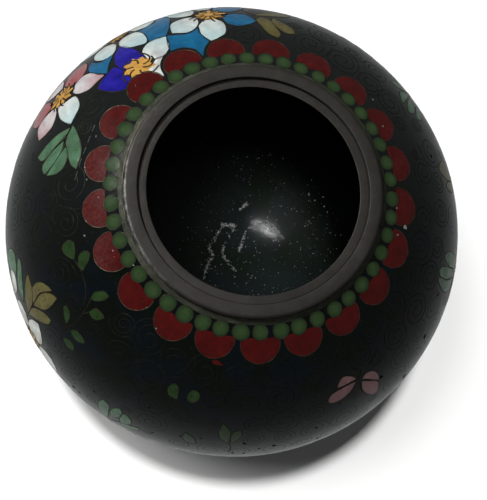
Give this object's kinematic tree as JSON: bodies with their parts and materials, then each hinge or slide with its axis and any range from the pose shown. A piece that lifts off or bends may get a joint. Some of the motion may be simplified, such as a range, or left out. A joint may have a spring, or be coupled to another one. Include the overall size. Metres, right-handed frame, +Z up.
{
  "type": "cloisonne vase",
  "caption": "Squat globular enamelled jar on a foot ring, with a wide recessed mouth collar and wired floral decoration on a dark ground.",
  "frame": {"origin": "on the floor, under the middle of the foot ring", "axes": "+Z up through the middle of the mouth; -Y is the side nearest the viewer in the reference view, and the flower spray is on the +Y -X side"},
  "size_m": [0.12, 0.12, 0.087],
  "materials": {
    "aged_brass": "patinated",
    "black_ground": "glossy",
    "black_lining": "glossy",
    "blush_glass": "glossy",
    "cobalt_glass": "glossy",
    "copper": "dull",
    "gilt_wire": "worn gilt",
    "green_bead": "glossy",
    "leaf_green_glass": "glossy",
    "olive_glass": "glossy",
    "pale_green_glass": "glossy",
    "red_scallop": "glossy",
    "rose_glass": "glossy",
    "sky_glass": "glossy",
    "white_glass": "glossy",
    "yellow_glass": "glossy"
  },
  "bodies": {
    "root": {"base_enamel": "black_lining", "bead_enamels": "green_bead", "bead_wires": "gilt_wire", "blush_petal_enamels": "blush_glass", "butterfly_wing_enamels": "rose_glass", "butterfly_wires": "gilt_wire", "cobalt_petal_enamels": "cobalt_glass", "collar_wire": "gilt_wire", "copper_bowl": "copper", "copper_shoulder": "copper", "foot_ring": "aged_brass", "foot_scallop_enamels": "red_scallop", "foot_scallop_wires": "gilt_wire", "foot_wire": "gilt_wire", "green_leaf_enamels": "leaf_green_glass", "ground_enamel": "black_ground", "interior_enamel": "black_lining", "leaf_wires": "gilt_wire", "lid_ledge_ring": "aged_brass", "mouth_collar": "aged_brass", "olive_leaf_enamels": "olive_glass", "pale_leaf_enamels": "pale_green_glass", "petal_wires": "gilt_wire", "rose_petal_enamels": "rose_glass", "scallop_enamels": "red_scallop", "scallop_wires": "gilt_wire", "sky_petal_enamels": "sky_glass", "stamen_disc_enamels": "yellow_glass", "stamen_disc_wires": "gilt_wire", "white_petal_enamels": "white_glass"}
  },
  "joints": []
}
